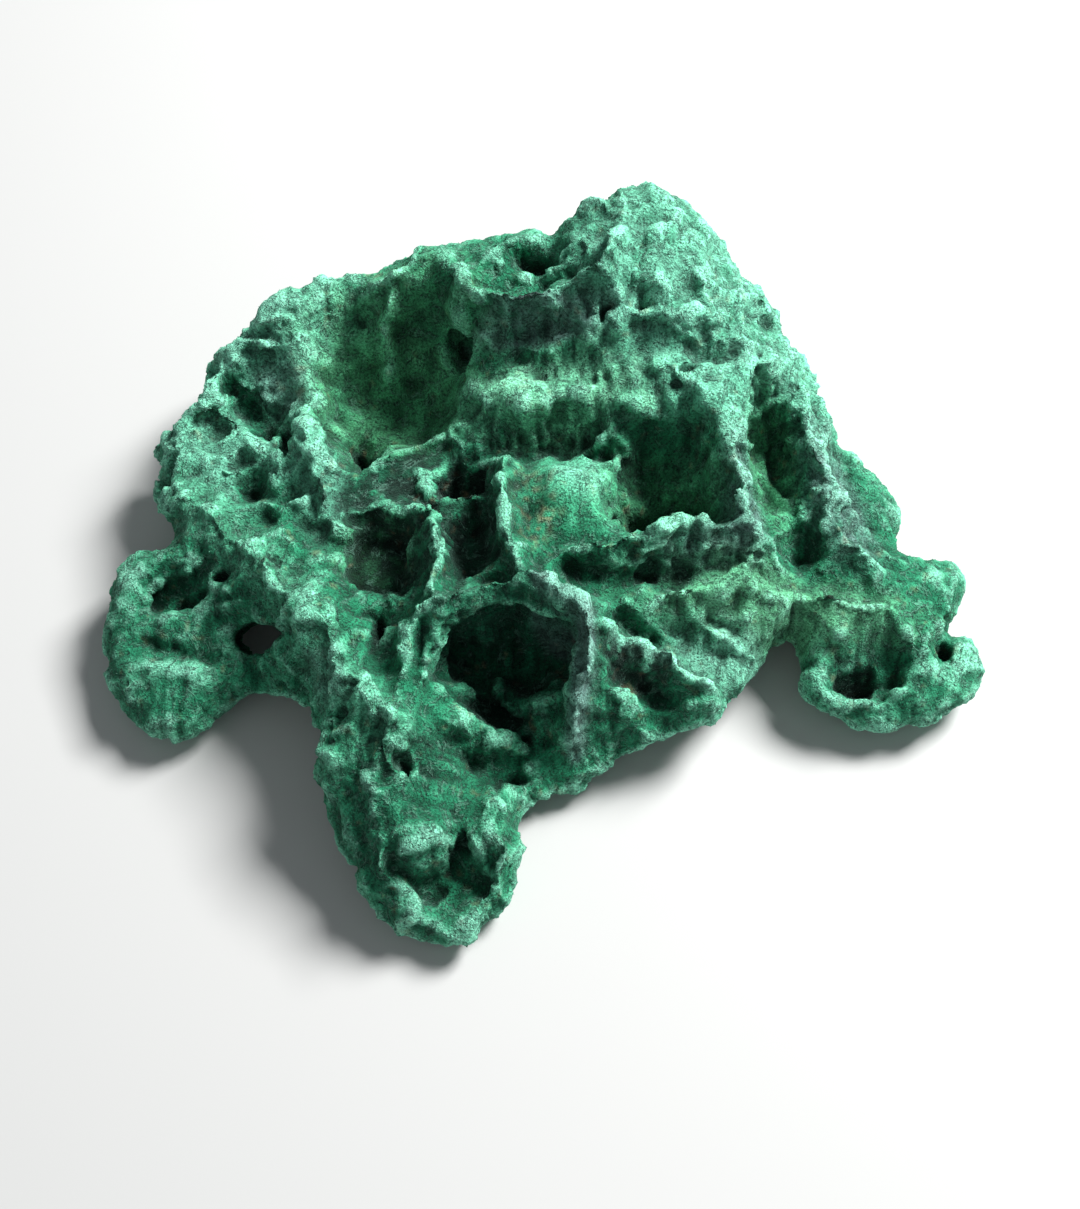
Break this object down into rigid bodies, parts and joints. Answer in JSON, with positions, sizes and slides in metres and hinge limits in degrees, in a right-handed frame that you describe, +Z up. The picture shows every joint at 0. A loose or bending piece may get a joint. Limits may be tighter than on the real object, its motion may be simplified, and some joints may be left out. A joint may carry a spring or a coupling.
{
  "type": "velvet malachite specimen",
  "caption": "Craggy display specimen of velvet malachite with fibrous hollows, thin ridges, pits and short legs that it rests on.",
  "frame": {"origin": "middle of the bounding box in plan, on the plane that the feet rest on", "axes": "+Z up from the feet, +X along the longest side, +Y from the front leg towards the tall back"},
  "size_m": [0.1121, 0.0953, 0.0354],
  "materials": {
    "malachite": "matt, velvety, finely fibrous"
  },
  "bodies": {
    "root": {"malachite_mass": "malachite"}
  },
  "joints": []
}
